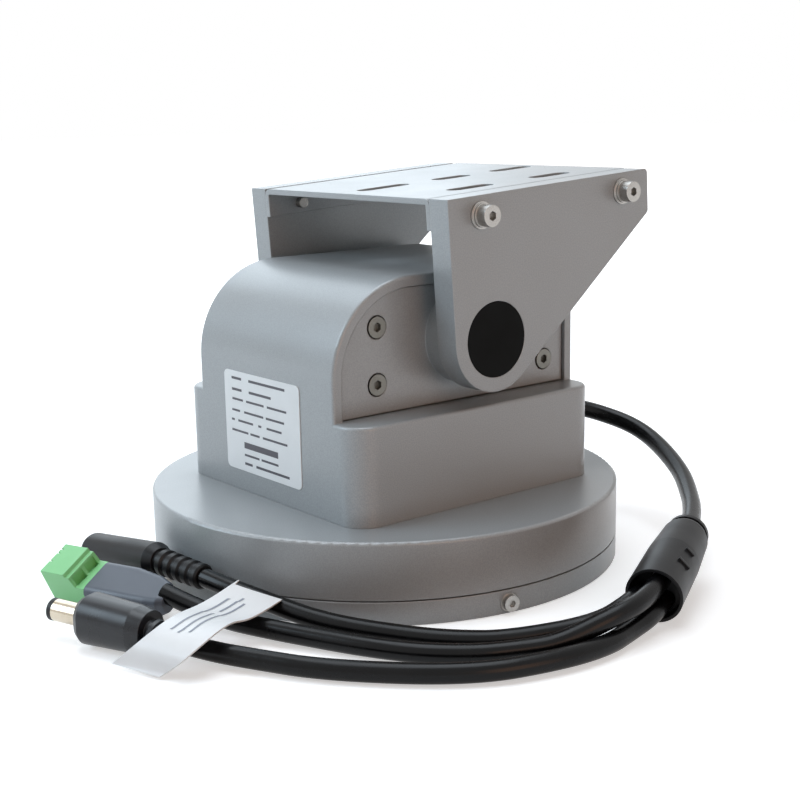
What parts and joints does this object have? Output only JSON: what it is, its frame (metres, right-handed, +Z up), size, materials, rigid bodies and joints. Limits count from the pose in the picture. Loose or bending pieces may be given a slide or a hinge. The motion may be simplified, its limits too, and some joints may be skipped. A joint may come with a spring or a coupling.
{
  "type": "remote pan tilt head",
  "caption": "Motorised pan and tilt head with a round turntable, arched gear housing, tilting U bracket with a slotted camera plate, and a rear lead that parts into power and control ends.",
  "frame": {"origin": "on the pan axis at the underside of the round base", "axes": "+Z up along the pan axis, +X along the tilt axis towards the right arm seen from the label, -Y out of the label face"},
  "size_m": [0.1662, 0.1877, 0.1047],
  "materials": {
    "silver_paint": "satin silver-grey metallic powder paint on aluminium",
    "machined_aluminium": "turned and milled, bare",
    "stainless_steel": "bright stainless screws and washers",
    "bare_steel": "ground steel, lightly oiled",
    "gear_brass": "hobbed brass",
    "board_green": "glass fibre board with green solder mask",
    "black_plastic": "moulded, satin black",
    "label_white": "printed white film with plain bars",
    "black_pvc": "extruded lead jacket, smooth",
    "black_moulding": "flexible moulding, satin black",
    "grey_moulding": "flexible moulding, dark blue-grey",
    "terminal_green": "moulded green terminal",
    "nickel_plate": "bright nickel plate"
  },
  "bodies": {
    "base": {"base_ring": "silver_paint", "mounting_plate": "machined_aluminium", "ring_screws": "stainless_steel", "ring_screw_washers": "stainless_steel", "pan_spindle": "bare_steel", "spindle_screws": "bare_steel", "spindle_nut": "bare_steel", "pan_gear": "gear_brass", "pan_gear_screws": "bare_steel", "pan_inner_races": "bare_steel", "pan_stop_pin": "bare_steel"},
    "housing": {"turntable": "silver_paint", "housing": "silver_paint", "housing_screws": "stainless_steel", "pan_outer_races": "bare_steel", "pan_bearing_balls": "bare_steel", "side_plate_right": "silver_paint", "side_plate_left": "silver_paint", "side_plate_screws": "stainless_steel", "tilt_outer_races": "bare_steel", "tilt_bearing_balls": "bare_steel", "pan_motor": "bare_steel", "tilt_motor": "bare_steel", "tilt_motor_bracket": "stainless_steel", "motor_screws": "stainless_steel", "control_board": "board_green", "board_parts": "black_plastic", "rating_label": "label_white", "cable_gland": "black_plastic", "main_lead": "black_pvc", "lead_splitter": "black_moulding", "socket_lead": "black_pvc", "terminal_lead": "black_pvc", "plug_lead": "black_pvc", "socket_moulding": "black_moulding", "socket_contact": "nickel_plate", "terminal_overmould": "grey_moulding", "terminal_block": "terminal_green", "terminal_contacts": "nickel_plate", "plug_moulding": "black_moulding", "plug_barrel": "nickel_plate", "plug_tip": "black_plastic", "flag_tag": "label_white"},
    "bracket": {"tilt_shaft": "bare_steel", "tilt_inner_races": "bare_steel", "shaft_spacers": "machined_aluminium", "tilt_sector": "machined_aluminium", "sector_screw": "bare_steel", "arm_right": "silver_paint", "arm_left": "silver_paint", "arm_caps": "black_plastic", "shaft_end_screws": "stainless_steel", "shaft_end_washers": "stainless_steel", "top_sheet": "silver_paint", "arm_screws": "stainless_steel", "arm_screw_washers": "stainless_steel"},
    "pan_drive": {"pan_motor_shaft": "bare_steel", "pan_pinion": "gear_brass"},
    "tilt_drive": {"tilt_motor_shaft": "bare_steel", "tilt_pinion": "gear_brass"}
  },
  "joints": [
    {"name": "pan", "type": "hinge", "parent": "base", "child": "housing", "pos_m": [0, 0, 0.0137], "axis": [0, 0, 1], "range_deg": [-175, 175]},
    {"name": "tilt", "type": "hinge", "parent": "housing", "child": "bracket", "pos_m": [0, 0.003, 0.064], "axis": [1, 0, 0], "range_deg": [-28.7, 41.3]},
    {"name": "pan_drive", "type": "hinge", "parent": "housing", "child": "pan_drive", "pos_m": [-0.02546, -0.02546, 0.012], "axis": [0, 0, 1], "range_deg": [-880, 880]},
    {"name": "tilt_drive", "type": "hinge", "parent": "housing", "child": "tilt_drive", "pos_m": [-0.018, 0.01906, 0.04106], "axis": [1, 0, 0], "range_deg": [-153, 107]}
  ],
  "couplings": [
    {"joint": "pan_drive", "follows": "pan", "ratio": 5},
    {"joint": "tilt_drive", "follows": "tilt", "ratio": -3.6667}
  ]
}
